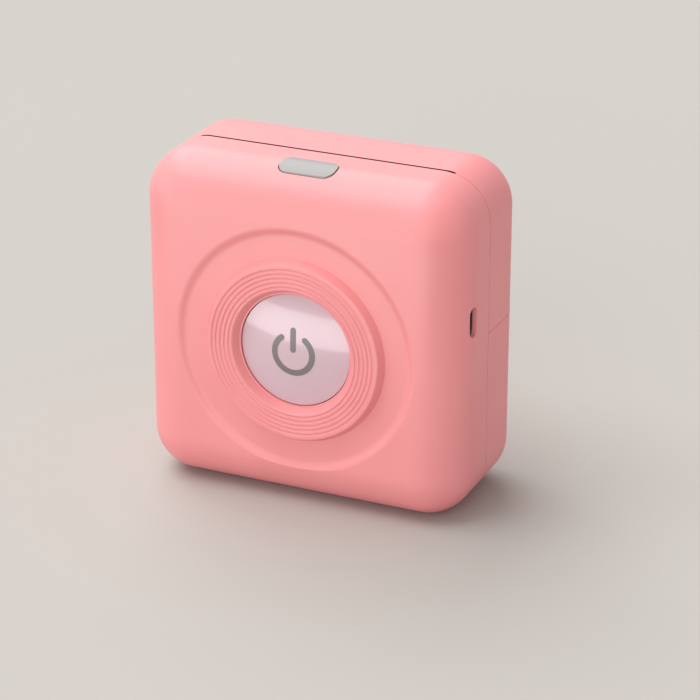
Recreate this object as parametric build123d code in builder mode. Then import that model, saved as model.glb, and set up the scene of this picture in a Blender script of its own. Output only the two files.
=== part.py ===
from build123d import *
from math import asin, atan2, cos, degrees, hypot, radians, sin
import os

# Palm-size thermal printer for 57 mm paper rolls, standing on its flat bottom.
# Millimetres. +X is right, +Y is back (the front faces -Y) and +Z is up.
# The origin is at the middle of the base, under the centre of the whole object.

os.makedirs("parts", exist_ok=True)

# Case
case_width = 107.0
case_height = 107.0
case_depth = 50.0
corner_radius = 15.0
front_fillet = 14.8
back_fillet = 10.0
wall = 2.0
seam_ahead = 1.0
seam_gap = 0.2
lid_gap = 0.15

# Round recess, raised ring and power button on the front
dial_below_middle = 2.2
recess_margin = 13.7
recess_depth = 1.1
recess_slope = 3.4
ring_outer = 29.6
ring_crest = 27.5
crest_flat = 0.7
crest_round = 0.6
ring_proud = 1.6
funnel_radius = 20.1
funnel_proud = 1.4
groove_count = 5
groove_pitch = 1.4
groove_start = 0.95
groove_radius = 0.5
groove_depth = 0.3
disc_radius = 17.93
disc_gap = 0.27
disc_sink = 1.6
dome_height = 1.9
sleeve_wall = 1.5
sleeve_depth = 4.2
disc_travel = 0.5
disc_flange = 0.8
disc_wall = 1.6
stem_radius = 2.2

# Paper slot and tear bar
slot_inset = 12.0
slot_front_cut = 0.3
slot_back_cut = 0.7
tear_thickness = 0.35
tooth_pitch = 1.5
tooth_height = 0.9
tear_rib_drop = 2.7

# Hinge of the rear cover
hinge_radius = 3.0
hinge_drop = 50.0
hinge_clearance = 0.3
hinge_pin_radius = 1.0
running_gap = 0.05
ear_inset = 13.2
ear_width = 3.7
hinge_pin_length = 13.0
barrel_channel = 1.6
barrel_channel_half = 30.0
trough_wall = 1.2

# Paper roll and its tray
paper_width = 57.0
roll_stack = 20.0
roll_clearance = 0.3
roll_back_gap = 1.3
roll_trough_gap = 0.4
tray_wall = 1.2
tray_side_gap = 0.7
tray_fit = 0.3
tray_board_gap = 4.8

# Platen
platen_radius = 5.0
platen_drop = 12.0
platen_length = 58.0
paper_gap = 0.3
head_face_ahead = 0.4
shaft_radius = 2.0
shaft_half_length = 36.4
bush_radius = 3.0
bush_flange_radius = 3.8
bush_flange = 0.6
arm_inner = 30.0
arm_thickness = 1.5
bracket_plate_gap = 1.0
bracket_ahead = 3.0
bracket_behind = 12.0
bracket_screw_x = 20.0
bracket_screw_behind = 8.0
arm_round = 4.8

# Gears
gear_module = 0.4
gear_width = 2.0
platen_teeth = 24
idler_teeth = 20
compound_small_teeth = 12
compound_big_teeth = 30
pinion_teeth = 10
gear_plane_a = 34.3
gear_plane_b = 36.9
axle_radius = 0.75
compound_turn = -113.0
motor_turn = -99.9
motor_radius = 6.5
motor_end_gap = 1.2
motor_shaft_radius = 0.75

# Print head
head_board_thickness = 1.0
head_board_half = 28.0
head_board_below = 7.0
head_board_above = 5.0
heat_sink_thickness = 2.5
heat_sink_half = 29.5
heat_sink_below = 10.0
heat_sink_above = 6.5
head_rod_radius = 0.8
head_rod_ahead = 1.3
head_rod_below = 7.0
head_lug_width = 3.5
head_spring_x = 18.0
head_spring_above = 1.0
head_spring_radius = 1.9
head_spring_wire = 0.25
head_spring_gap = 4.0
head_spring_turns = 5

# Print frame
sheet = 1.5
frame_inner = 32.2
frame_below = 15.0
frame_above = 6.0
frame_behind = 2.8
flange_x = 39.7
flange_thickness = 1.3
flange_below = 28.5
flange_ahead = 6.2
strip_below = 2.0
cross_below = 13.0
cable_notch_below = 9.0
cable_notch_half = 12.0
button_notch_gap = 0.4
motor_tab = 0.8
motor_tab_width = 4.2
motor_screw_reach = 8.6
frame_screw_x = 24.0
frame_screw_below = 5.0

# Cover-release button and ejector lever
button_half_width = 9.0
button_front_depth = 7.8
button_back_depth = 15.7
button_corner = 3.0
button_gap = 0.3
button_proud = 0.35
button_cap = 1.6
button_wall = 1.3
button_flange = 0.9
button_flange_above = 6.0
button_pad = 5.0
button_travel = 1.2
button_spring_x = -6.5
button_spring_radius = 2.0
button_spring_wire = 0.25
button_spring_ahead = 3.4
button_spring_below = 1.5
button_spring_turns = 5
lever_ahead = 2.1
lever_above = 1.0
lever_radius = 1.2
lever_tip_depth = 7.6
lever_arm_x = 34.2
lever_arm_thickness = 1.6
lever_gap = 0.1
lever_left = -4.0
finger_x = 2.0
finger_width = 4.0

# Main board and its fittings
board_depth = 9.0
board_thickness = 1.6
board_side_gap = 14.5
board_low = 12.0
board_below = 15.0
board_tab_gap = 4.5
board_post_inset = 4.0
port_drop = 41.7
port_height = 8.94
port_depth = 3.26
port_length = 7.2
port_inset = 1.3
port_shell = 0.3
port_opening_gap = 0.3
tongue_height = 6.7
tongue_thickness = 0.7
switch_size = 6.0
switch_body = 2.6
switch_plunger = 1.5
switch_plunger_radius = 1.7
plunger_sunk = 1.0

# Flat cable of the print head
cable_width = 16.0
cable_thickness = 0.3
cable_top_below = 8.6
cable_level_below = 10.1
cable_bend = 1.0
connector_inset = 2.0
connector_height = 4.5
connector_depth = 2.0

# Battery
battery_width = 50.0
battery_thickness = 8.0
battery_headroom = 8.3
battery_low = 8.0
battery_gap = 0.5
battery_rib = 1.2
lead_radius = 0.6
lead_pitch = 1.8
lead_bend = 3.0
lead_x = -18.0
lead_below_deck = 4.3
lead_socket_below = 16.0

# Fasteners
case_screw_inset = 10.5
case_screw_low = 13.0
case_screw_below_hinge = 13.0
case_screw_radius = 1.25
case_screw_length = 12.0
case_screw_sunk = 8.8
case_screw_grip = 6.3
small_screw_radius = 1.0
small_screw_length = 5.0
bracket_screw_length = 4.0
post_radius = 2.6
tray_screw_inset = 5.0
tray_screw_behind = 7.7
tray_boss = 8.0

# Places worked out from the sizes above
front_y = -(case_depth + ring_proud) / 2 + ring_proud
back_y = front_y + case_depth
seam_y = front_y + case_depth / 2 - seam_ahead
half_width = case_width / 2
inner_half = half_width - wall
dial_z = case_height / 2 - dial_below_middle
recess_radius = min(half_width, case_height / 2) - recess_margin
slot_half_length = half_width - slot_inset
hinge_y = back_y - hinge_radius
hinge_z = case_height - hinge_drop
trough_radius = hinge_radius + hinge_clearance + trough_wall
ear_inner = inner_half - ear_inset
head_face_y = seam_y - head_face_ahead
platen_y = head_face_y + paper_gap + platen_radius
platen_z = case_height - platen_drop
roll_radius = (case_depth - roll_stack) / 2
roll_y = back_y - wall - roll_back_gap - roll_radius
cradle_inner = roll_radius + roll_clearance
cradle_outer = cradle_inner + tray_wall
roll_reach = cradle_outer + trough_radius + roll_trough_gap
roll_z = hinge_z + (roll_reach**2 - (hinge_y - roll_y) ** 2) ** 0.5
head_board_low = platen_z - head_board_below
head_board_high = platen_z + head_board_above
heat_sink_low = platen_z - heat_sink_below
heat_sink_high = platen_z + heat_sink_above
head_rod_z = platen_z - head_rod_below
head_spring_z = platen_z + head_spring_above
frame_low = platen_z - frame_below
frame_high = platen_z + frame_above
frame_back_y = platen_y + frame_behind
flange_low = platen_z - flange_below
flange_back_y = platen_y - flange_ahead
strip_low = platen_z - strip_below
cross_low = platen_z - cross_below
cable_notch_low = platen_z - cable_notch_below
frame_screw_z = platen_z - frame_screw_below
motor_length = inner_half - flange_x - flange_thickness - motor_end_gap
heat_sink_back_y = head_face_y - head_board_thickness
heat_sink_front_y = heat_sink_back_y - heat_sink_thickness
head_rod_y = heat_sink_front_y - head_rod_ahead
cross_back_y = heat_sink_front_y - head_spring_gap
cross_front_y = cross_back_y - sheet
board_front_y = front_y + board_depth
board_back_y = board_front_y + board_thickness
board_half_width = inner_half - board_side_gap
board_high = platen_z - board_below
board_post_x = board_half_width - board_post_inset
board_tab_end = half_width - board_tab_gap
port_y = board_back_y + port_depth / 2
port_z = case_height - port_drop
port_end = half_width - port_inset
cable_top = platen_z - cable_top_below
cable_level = platen_z - cable_level_below
connector_top = board_high - connector_inset
button_flange_z = platen_z + button_flange_above
button_spring_y = cross_front_y - button_spring_ahead
button_spring_low = platen_z - button_spring_below
lever_y = cross_front_y - lever_ahead
lever_z = platen_z + lever_above
lever_reach = lever_y - front_y - lever_tip_depth
tray_front_y = board_back_y + tray_board_gap
tray_half = paper_width / 2 + tray_side_gap + tray_wall
deck_high = roll_z - cradle_inner - 0.75 * tray_wall
deck_low = deck_high - sheet
battery_height = deck_low - battery_headroom - battery_low
lead_level = deck_low - lead_below_deck
lead_socket_top = lead_level - lead_socket_below
tray_screw_x = inner_half - tray_screw_inset
tray_screw_y = seam_y + tray_screw_behind
case_screw_x = inner_half - case_screw_inset
case_screw_high = hinge_z - case_screw_below_hinge
case_screw_seat_y = back_y - case_screw_sunk
case_post_end_y = case_screw_seat_y - case_screw_grip
rib_x = battery_width / 2 + battery_gap + battery_rib / 2
exit_angle = degrees(atan2(hinge_y - platen_y, platen_z - hinge_z))
dial_axis = Axis((0, 0, dial_z), (0, 1, 0))


def facing_front(y):
    """A drawing plane across the case at this depth: drawn in X and Z, pushed backwards by a
    negative amount."""
    return Plane.XZ.offset(-y)


def across(x):
    """A drawing plane square to X at this place: drawn in Y and Z, pushed to the right."""
    return Plane.YZ.offset(x)


def across_at(x, place):
    """The same plane with its origin at a (y, z) place."""
    return Plane(origin=(x, place[0], place[1]), x_dir=(0, 1, 0), z_dir=(1, 0, 0))


def rounded_block(inset):
    """The outer form of the case, drawn in by the same amount on every side."""
    with BuildPart() as block:
        with BuildSketch(facing_front(front_y + inset)):
            with Locations((0, case_height / 2)):
                RectangleRounded(
                    case_width - 2 * inset, case_height - 2 * inset, corner_radius - inset
                )
        extrude(amount=-(case_depth - 2 * inset))
        fillet(block.faces().sort_by(Axis.Y)[0].edges(), front_fillet - inset)
        fillet(block.faces().sort_by(Axis.Y)[-1].edges(), back_fillet - inset)
    return block.part


def posts(spots, radius, start_y, end_y):
    """Round posts along Y at (x, z) spots, trimmed to stay inside the outer skin."""
    with BuildPart() as group:
        with BuildSketch(facing_front(start_y)):
            with Locations(*spots):
                Circle(radius)
        extrude(amount=-(end_y - start_y))
        add(middle_block, mode=Mode.INTERSECT)
    return group.part


def pan_screw(shank_radius, length):
    """A pan-head screw: seat at the origin, head above, shank below."""
    head_radius = 1.9 * shank_radius
    head_height = 1.2 * shank_radius
    recess_width = 0.3 * head_radius
    with BuildPart() as screw:
        with BuildSketch():
            Circle(head_radius)
        extrude(amount=head_height)
        fillet(screw.edges().sort_by(Axis.Z)[-1], 0.4 * head_height)
        with BuildSketch():
            Circle(shank_radius)
        extrude(amount=-length)
        chamfer(screw.edges().sort_by(Axis.Z)[0], 0.3 * shank_radius)
        with BuildSketch(Plane.XY.offset(head_height)):
            Rectangle(1.2 * head_radius, recess_width)
            Rectangle(recess_width, 1.2 * head_radius)
        extrude(amount=-0.5 * head_height, mode=Mode.SUBTRACT)
    return screw.part


def coil(radius, wire, height, turns):
    """An open coil spring standing on the origin, no taller than its height."""
    with BuildPart() as spring:
        with BuildLine() as turn:
            Helix((height - 2 * wire) / turns, height - 2 * wire, radius, center=(0, 0, wire))
        with BuildSketch(Plane(origin=turn.line @ 0, z_dir=turn.line % 0)):
            Circle(wire)
        sweep()
    return spring.part


def gear_face(teeth, phase):
    """A gear outline about the sketch's origin, with one tooth centred on the phase angle."""
    pitch_radius = gear_module * teeth / 2
    pitch_angle = 360 / teeth
    flank = [
        (pitch_radius - 1.2 * gear_module, 0.30 * pitch_angle),
        (pitch_radius, 0.22 * pitch_angle),
        (pitch_radius + 0.8 * gear_module, 0.12 * pitch_angle),
    ]
    corners = []
    for tooth in range(teeth):
        middle = phase + tooth * pitch_angle
        for radius, half in flank:
            corners.append(Vector(radius, 0, 0).rotate(Axis.Z, middle - half))
        for radius, half in reversed(flank):
            corners.append(Vector(radius, 0, 0).rotate(Axis.Z, middle + half))
    with BuildSketch() as outline:
        with BuildLine():
            Polyline(*corners, close=True)
        make_face()
    return outline.sketch


def meshed_phase(teeth_a, phase_a, teeth_b, direction):
    """The phase of gear b that puts its gap on gear a's tooth; direction points from a to b."""
    share = ((direction - phase_a) * teeth_a / 360) % 1
    return direction + 180 - (0.5 - share) * 360 / teeth_b


def stepped(place, distance, angle):
    """The (y, z) place at this distance and angle from another."""
    return (place[0] + distance * cos(radians(angle)), place[1] + distance * sin(radians(angle)))


# Gear centres in Y and Z, and their phases at rest
platen_place = (platen_y, platen_z)
idler_place = stepped(platen_place, gear_module * (platen_teeth + idler_teeth) / 2, exit_angle + 180)
compound_place = stepped(
    idler_place, gear_module * (idler_teeth + compound_small_teeth) / 2, compound_turn
)
motor_place = stepped(
    compound_place, gear_module * (compound_big_teeth + pinion_teeth) / 2, motor_turn
)
idler_phase = meshed_phase(platen_teeth, 0, idler_teeth, exit_angle + 180)
compound_phase = meshed_phase(idler_teeth, idler_phase, compound_small_teeth, compound_turn)
pinion_phase = meshed_phase(compound_big_teeth, 0, pinion_teeth, motor_turn)

outer_block = rounded_block(0)
middle_block = rounded_block(wall / 2)
inner_block = rounded_block(wall)

case_screw_spots = [
    (x, z) for x in (-case_screw_x, case_screw_x) for z in (case_screw_low, case_screw_high)
]
board_screw_spots = [
    (x, z)
    for x in (-board_post_x, board_post_x)
    for z in (board_low + board_post_inset, board_high - board_post_inset)
]
frame_screw_spots = [(-frame_screw_x, frame_screw_z), (frame_screw_x, frame_screw_z)]


# Front shell, with its posts, ring, button opening and port opening
case_posts = posts(case_screw_spots, post_radius + 0.6, front_y, case_post_end_y)
board_posts = posts(board_screw_spots, post_radius, front_y, board_front_y)
frame_posts = posts(frame_screw_spots, post_radius, front_y, cross_front_y)
button_middle_y = front_y + (button_front_depth + button_back_depth) / 2
button_length = button_back_depth - button_front_depth
crest_y = front_y - ring_proud
floor_y = front_y + recess_depth
hole_radius = disc_radius + disc_gap

with BuildPart() as front_shell:
    add(outer_block)
    add(inner_block, mode=Mode.SUBTRACT)
    with BuildSketch(facing_front(seam_y - seam_gap / 2)):
        with Locations((0, case_height / 2)):
            Rectangle(2 * case_width, 2 * case_height)
    extrude(amount=-case_depth, mode=Mode.SUBTRACT)
    # thicker skin behind the recess
    with BuildSketch(facing_front(front_y + wall - 0.01)):
        with Locations((0, dial_z)):
            Circle(recess_radius)
    extrude(amount=-recess_depth)
    # shallow recess whose rim eases in and out of the face
    rim_middle = (front_y + recess_depth / 2, dial_z + recess_radius - recess_slope / 2)
    with BuildSketch(across(0)):
        with BuildLine():
            ease_in = TangentArc(
                (front_y, dial_z + recess_radius), rim_middle, tangent=(0, -1)
            )
            ease_out = TangentArc(
                rim_middle, (floor_y, dial_z + recess_radius - recess_slope), tangent=ease_in % 1
            )
            Polyline(
                ease_out @ 1,
                (floor_y, dial_z),
                (front_y - recess_depth, dial_z),
                (front_y - recess_depth, dial_z + recess_radius),
                (front_y, dial_z + recess_radius),
            )
        make_face()
    revolve(axis=dial_axis, mode=Mode.SUBTRACT)
    # raised ring: outer wall, nearly flat crest, steep funnel and the sleeve round the button
    funnel_lip = (front_y - funnel_proud, dial_z + funnel_radius)
    with BuildSketch(across(0)) as ring_section:
        with BuildLine():
            Polyline(
                (floor_y + 0.5, dial_z + ring_outer),
                (floor_y, dial_z + ring_outer),
                (crest_y, dial_z + ring_crest + crest_flat),
                (crest_y, dial_z + ring_crest),
                funnel_lip,
                (front_y + disc_sink, dial_z + hole_radius + 0.3),
                (front_y + disc_sink, dial_z + hole_radius),
                (front_y + sleeve_depth, dial_z + hole_radius),
                (front_y + sleeve_depth, dial_z + hole_radius + sleeve_wall),
                (floor_y + 0.5, dial_z + hole_radius + sleeve_wall),
                close=True,
            )
        make_face()
        crest_corners = ring_section.vertices().group_by(Axis.X)
        fillet(crest_corners[0].sort_by(Axis.Y)[-1], crest_round)
        fillet(ring_section.vertices().sort_by_distance(funnel_lip)[0], crest_round)
    revolve(axis=dial_axis)
    with BuildSketch(facing_front(crest_y)):
        with Locations((0, dial_z)):
            Circle(hole_radius)
    extrude(amount=-(ring_proud + sleeve_depth), mode=Mode.SUBTRACT)
    # grooves in the crest
    funnel_slope = (ring_proud - funnel_proud) / (ring_crest - funnel_radius)
    groove_lift = groove_radius - groove_depth
    with BuildSketch(across(0)):
        for groove in range(groove_count):
            out = groove_start + groove * groove_pitch
            with Locations(
                (front_y - funnel_proud - out * funnel_slope - groove_lift, dial_z + funnel_radius + out)
            ):
                Circle(groove_radius)
    revolve(axis=dial_axis, mode=Mode.SUBTRACT)
    # posts with pilot holes
    add(case_posts)
    add(board_posts)
    add(frame_posts)
    for spots, end_y, radius in (
        (case_screw_spots, case_post_end_y, case_screw_radius),
        (board_screw_spots, board_front_y, small_screw_radius),
        (frame_screw_spots, cross_front_y, small_screw_radius),
    ):
        with BuildSketch(facing_front(end_y)):
            with Locations(*spots):
                Circle(radius + 0.02)
        extrude(amount=small_screw_length + 1.2, mode=Mode.SUBTRACT)
    # opening for the release button
    with BuildSketch(Plane.XY.offset(button_flange_z - 3)):
        with Locations((0, button_middle_y)):
            RectangleRounded(
                2 * (button_half_width + button_gap),
                button_length + 2 * button_gap,
                button_corner + button_gap,
            )
    extrude(amount=case_height, mode=Mode.SUBTRACT)
    # opening for the charging port
    with BuildSketch(across(inner_half - wall)):
        with Locations((port_y, port_z)):
            SlotOverall(
                port_height + 2 * port_opening_gap, port_depth + 2 * port_opening_gap, rotation=90
            )
    extrude(amount=3 * wall, mode=Mode.SUBTRACT)
    # front half of the paper slot, and the rib that holds the tear bar
    with BuildSketch(Plane.XY.offset(case_height - 2 * wall)):
        with Locations((0, seam_y)):
            Rectangle(2 * slot_half_length, 2 * slot_front_cut)
    extrude(amount=3 * wall, mode=Mode.SUBTRACT)
    with BuildSketch(across(-slot_half_length)):
        with Locations((seam_y - slot_front_cut, case_height - wall + 0.01)):
            Rectangle(2.0, tear_rib_drop, align=(Align.MAX, Align.MAX))
    extrude(amount=2 * slot_half_length)
front_shell.part.label = "front_shell"
export_step(front_shell.part, "parts/front_shell.step")


# Rear shell: below the cover, with a trough and ears for the hinge
clear_radius = hinge_radius + hinge_clearance
with BuildPart() as trough:
    with BuildSketch(across(-half_width)):
        with Locations((hinge_y, hinge_z)):
            Circle(trough_radius)
    extrude(amount=case_width)
    add(middle_block, mode=Mode.INTERSECT)

case_sleeves = posts(case_screw_spots, post_radius + 1.8, case_post_end_y + 0.3, back_y)

with BuildPart() as rear_shell:
    add(outer_block)
    add(inner_block, mode=Mode.SUBTRACT)
    add(trough.part)
    add(case_sleeves)
    with BuildSketch(facing_front(seam_y + seam_gap / 2)):
        with Locations((0, case_height / 2)):
            Rectangle(2 * case_width, 2 * case_height)
    extrude(amount=case_depth, mode=Mode.SUBTRACT)
    # bosses under the tray's screws, and a shelf and ribs that hold the battery
    boss_length = inner_half + wall / 4 - tray_screw_x + post_radius
    boss_middle = tray_screw_x - post_radius + boss_length / 2
    with BuildSketch(Plane.XY.offset(deck_low - tray_boss)):
        with Locations((-boss_middle, tray_screw_y), (boss_middle, tray_screw_y)):
            Rectangle(boss_length, 2 * post_radius)
    extrude(amount=tray_boss)
    with BuildSketch(Plane.XY.offset(deck_low)):
        with Locations((-tray_screw_x, tray_screw_y), (tray_screw_x, tray_screw_y)):
            Circle(small_screw_radius + 0.02)
    extrude(amount=-small_screw_length, mode=Mode.SUBTRACT)
    rib_reach = battery_thickness + battery_gap + wall / 2
    with BuildSketch(facing_front(back_y - wall / 2)):
        for x in (-rib_x, rib_x):
            with Locations((x, battery_low + battery_height / 2)):
                Rectangle(battery_rib, battery_height)
        with Locations((0, battery_low - 0.1)):
            Rectangle(2 * rib_x + battery_rib, battery_rib, align=(Align.CENTER, Align.MAX))
    extrude(amount=rib_reach)
    # room for the cover and for the way its hinge barrel turns
    with BuildSketch(across(-case_width)):
        with Locations((seam_y, hinge_z)):
            Rectangle(2 * case_depth, case_height, align=(Align.CENTER, Align.MIN))
        with Locations((hinge_y, hinge_z)):
            Circle(clear_radius)
            Rectangle(2 * clear_radius, clear_radius, align=(Align.MIN, Align.MAX))
    extrude(amount=2 * case_width, mode=Mode.SUBTRACT)
    # hinge ears
    for side in (-1, 1):
        ear_start = ear_inner if side > 0 else -ear_inner - ear_width
        with BuildSketch(across(ear_start)):
            with Locations((hinge_y, hinge_z)):
                Circle(hinge_radius - 0.4)
                Rectangle(
                    hinge_radius - 0.6, trough_radius, align=(Align.MAX, Align.MAX)
                )
            with Locations((hinge_y, hinge_z)):
                Circle(hinge_pin_radius + running_gap / 2, mode=Mode.SUBTRACT)
        extrude(amount=ear_width)
    # screw holes: a deep counterbore from the back, then a clearance hole
    with BuildSketch(facing_front(case_screw_seat_y)):
        with Locations(*case_screw_spots):
            Circle(case_screw_radius * 1.9 + 0.4)
    extrude(amount=-case_depth, mode=Mode.SUBTRACT)
    with BuildSketch(facing_front(case_post_end_y)):
        with Locations(*case_screw_spots):
            Circle(case_screw_radius + 0.2)
    extrude(amount=-case_depth / 2, mode=Mode.SUBTRACT)
rear_shell.part.label = "rear_shell"
export_step(rear_shell.part, "parts/rear_shell.step")


# Rear cover: back wall, rear part of the top and sides, hinge barrel and bracket bosses
bracket_low = platen_z + platen_radius + bracket_plate_gap
bracket_high = bracket_low + sheet
bracket_screw_spots = [
    (-bracket_screw_x, platen_y + bracket_screw_behind),
    (bracket_screw_x, platen_y + bracket_screw_behind),
]
pin_start = ear_inner + (ear_width - hinge_pin_length) / 2
with BuildPart() as barrel:
    with BuildSketch(across(-half_width)):
        with Locations((hinge_y, hinge_z)):
            Circle(hinge_radius)
    extrude(amount=case_width)
    add(outer_block, mode=Mode.INTERSECT)
    with BuildSketch(across(-barrel_channel_half)):
        with Locations((hinge_y, hinge_z)):
            Circle(barrel_channel)
            Rectangle(2 * hinge_radius, 2 * hinge_radius, align=(Align.MAX, Align.MIN))
    extrude(amount=2 * barrel_channel_half, mode=Mode.SUBTRACT)

with BuildPart() as cover_shell:
    add(outer_block)
    add(inner_block, mode=Mode.SUBTRACT)
    with BuildSketch(facing_front(seam_y + seam_gap / 2)):
        with Locations((0, case_height / 2)):
            Rectangle(2 * case_width, 2 * case_height)
    extrude(amount=case_depth, mode=Mode.SUBTRACT)
    with BuildSketch(Plane.XY.offset(hinge_z + lid_gap)):
        Rectangle(2 * case_width, 2 * case_depth)
    extrude(amount=-case_height, mode=Mode.SUBTRACT)
    add(barrel.part)
    # rear half of the paper slot
    with BuildSketch(Plane.XY.offset(case_height - 2 * wall)):
        with Locations((0, seam_y)):
            Rectangle(2 * slot_half_length, 2 * slot_back_cut)
    extrude(amount=3 * wall, mode=Mode.SUBTRACT)
    # room for the ears of the rear shell, and the bores for the pins
    for side in (-1, 1):
        ear_start = ear_inner if side > 0 else -ear_inner - ear_width
        with BuildSketch(across(ear_start - hinge_clearance)):
            with Locations((hinge_y, hinge_z)):
                Circle(hinge_radius + running_gap)
        extrude(amount=ear_width + 2 * hinge_clearance, mode=Mode.SUBTRACT)
        bore_start = pin_start if side > 0 else -pin_start - hinge_pin_length
        with BuildSketch(across(bore_start - hinge_clearance)):
            with Locations((hinge_y, hinge_z)):
                Circle(hinge_pin_radius + running_gap)
        extrude(amount=hinge_pin_length + 2 * hinge_clearance, mode=Mode.SUBTRACT)
    # bosses for the platen bracket
    with BuildSketch(Plane.XY.offset(bracket_high)):
        with Locations(*bracket_screw_spots):
            Circle(post_radius)
    extrude(amount=case_height - wall / 2 - bracket_high)
    with BuildSketch(Plane.XY.offset(bracket_high)):
        with Locations(*bracket_screw_spots):
            Circle(small_screw_radius + 0.02)
    extrude(amount=bracket_screw_length - sheet + 0.3, mode=Mode.SUBTRACT)
cover_shell.part.label = "cover_shell"
export_step(cover_shell.part, "parts/cover_shell.step")

with BuildPart() as hinge_pins:
    for start in (pin_start, -pin_start - hinge_pin_length):
        with BuildSketch(across(start)):
            with Locations((hinge_y, hinge_z)):
                Circle(hinge_pin_radius)
        extrude(amount=hinge_pin_length)
hinge_pins.part.label = "hinge_pins"
export_step(hinge_pins.part, "parts/hinge_pins.step")


# Tear bar: a thin strip with a row of teeth, standing in the paper slot
tear_top = case_height - 0.1
tear_low = case_height - wall - tear_rib_drop
tooth_count = int(2 * (slot_half_length - 0.5) / tooth_pitch)
with BuildPart() as tear_bar:
    with BuildSketch(facing_front(seam_y - slot_front_cut + tear_thickness)):
        half = tooth_count * tooth_pitch / 2
        outline = [(-half, tear_low), (-half, tear_top - tooth_height)]
        for tooth in range(tooth_count):
            outline.append((-half + (tooth + 0.5) * tooth_pitch, tear_top))
            outline.append((-half + (tooth + 1) * tooth_pitch, tear_top - tooth_height))
        outline.append((half, tear_low))
        with BuildLine():
            Polyline(*outline, close=True)
        make_face()
    extrude(amount=tear_thickness)
tear_bar.part.label = "tear_bar"
export_step(tear_bar.part, "parts/tear_bar.step")


# Paper tray: a cradle for the roll, its cheeks and the deck that closes the lower case
deck_back_y = hinge_y - trough_radius - tray_fit
cradle_back_y = deck_back_y + tray_wall
with BuildPart() as paper_tray:
    with BuildSketch(across(-tray_half)):
        with Locations((roll_y, roll_z)):
            Circle(cradle_outer)
            Circle(cradle_inner, mode=Mode.SUBTRACT)
        with Locations((cradle_back_y, roll_z)):
            Rectangle(
                3 * cradle_outer, 2 * cradle_outer, align=(Align.MAX, Align.MAX), mode=Mode.INTERSECT
            )
    extrude(amount=2 * tray_half)
    for start in (-tray_half, tray_half - tray_wall):
        with BuildSketch(across(start)):
            with Locations((roll_y, roll_z)):
                Circle(cradle_outer)
            with Locations((cradle_back_y, roll_z)):
                Rectangle(
                    3 * cradle_outer,
                    2 * cradle_outer,
                    align=(Align.MAX, Align.MAX),
                    mode=Mode.INTERSECT,
                )
        extrude(amount=tray_wall)
    with BuildSketch(Plane.XY.offset(deck_low)):
        with Locations((0, tray_front_y)):
            Rectangle(
                2 * (inner_half - tray_fit), deck_back_y - tray_front_y, align=(Align.CENTER, Align.MIN)
            )
        with Locations((-tray_screw_x, tray_screw_y), (tray_screw_x, tray_screw_y)):
            Circle(small_screw_radius + 0.2, mode=Mode.SUBTRACT)
    extrude(amount=sheet)
paper_tray.part.label = "paper_tray"
export_step(paper_tray.part, "parts/paper_tray.step")


# Print frame: cross plate, side plates, motor flange, lever ears and the spring ledge
plate_end = frame_inner + sheet
flange_end = flange_x + flange_thickness
exit_slot = shaft_radius + 0.4
with BuildPart() as print_frame:
    with BuildSketch(facing_front(cross_back_y)):
        with Locations((0, frame_high)):
            Rectangle(2 * plate_end, frame_high - cross_low, align=(Align.CENTER, Align.MAX))
        with Locations((0, frame_high)):
            Rectangle(flange_end, frame_high - strip_low, align=(Align.MAX, Align.MAX))
        with Locations((0, cross_low)):
            Rectangle(
                2 * cable_notch_half,
                2 * (cable_notch_low - cross_low),
                mode=Mode.SUBTRACT,
            )
        with Locations((0, frame_high)):
            Rectangle(
                2 * (button_half_width + button_gap + button_flange + button_notch_gap),
                2 * (frame_high - button_flange_z + button_travel + button_notch_gap),
                mode=Mode.SUBTRACT,
            )
        with Locations(*frame_screw_spots):
            Circle(small_screw_radius + 0.2, mode=Mode.SUBTRACT)
    extrude(amount=sheet)
    for start in (-plate_end, frame_inner):
        with BuildSketch(across(start)):
            with BuildLine():
                Polyline(
                    (cross_front_y, frame_low),
                    (frame_back_y, frame_low),
                    (frame_back_y, platen_z - 1),
                    (platen_y - 1, frame_high),
                    (cross_front_y, frame_high),
                    close=True,
                )
            make_face()
            with Locations((head_rod_y, head_rod_z)):
                Circle(head_rod_radius + 0.02, mode=Mode.SUBTRACT)
            with Locations(Location((platen_y, platen_z, 0), (0, 0, exit_angle))):
                Circle(exit_slot, mode=Mode.SUBTRACT)
                Rectangle(
                    4 * exit_slot, 2 * exit_slot, align=(Align.MIN, Align.CENTER), mode=Mode.SUBTRACT
                )
            if start < 0:
                with Locations(idler_place, compound_place):
                    Circle(axle_radius + 0.02, mode=Mode.SUBTRACT)
        extrude(amount=sheet)
    with BuildSketch(across(-flange_end)):
        with BuildLine():
            Polyline(
                (cross_front_y, flange_low),
                (flange_back_y, flange_low),
                (flange_back_y, frame_high),
                (cross_front_y, frame_high),
                close=True,
            )
        make_face()
        with Locations(motor_place):
            Circle(2 * motor_shaft_radius, mode=Mode.SUBTRACT)
            with Locations((0, motor_screw_reach), (0, -motor_screw_reach)):
                Circle(small_screw_radius + 0.02, mode=Mode.SUBTRACT)
    extrude(amount=flange_thickness)
    for start in (lever_left + 0.5, frame_inner - 3):
        with BuildSketch(across(start)):
            with Locations((lever_y, lever_z)):
                Circle(lever_radius + 1)
                Rectangle(lever_ahead, 2 * lever_radius, align=(Align.MIN, Align.CENTER))
            with Locations((lever_y, lever_z)):
                Circle(lever_radius + running_gap, mode=Mode.SUBTRACT)
        extrude(amount=sheet)
    with BuildSketch(Plane.XY.offset(button_spring_low - sheet)):
        with Locations((button_spring_x, cross_front_y)):
            Rectangle(
                button_spring_radius * 2 + 1,
                button_spring_ahead + button_spring_radius + 1,
                align=(Align.CENTER, Align.MAX),
            )
    extrude(amount=sheet)
print_frame.part.label = "print_frame"
export_step(print_frame.part, "parts/print_frame.step")


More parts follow.
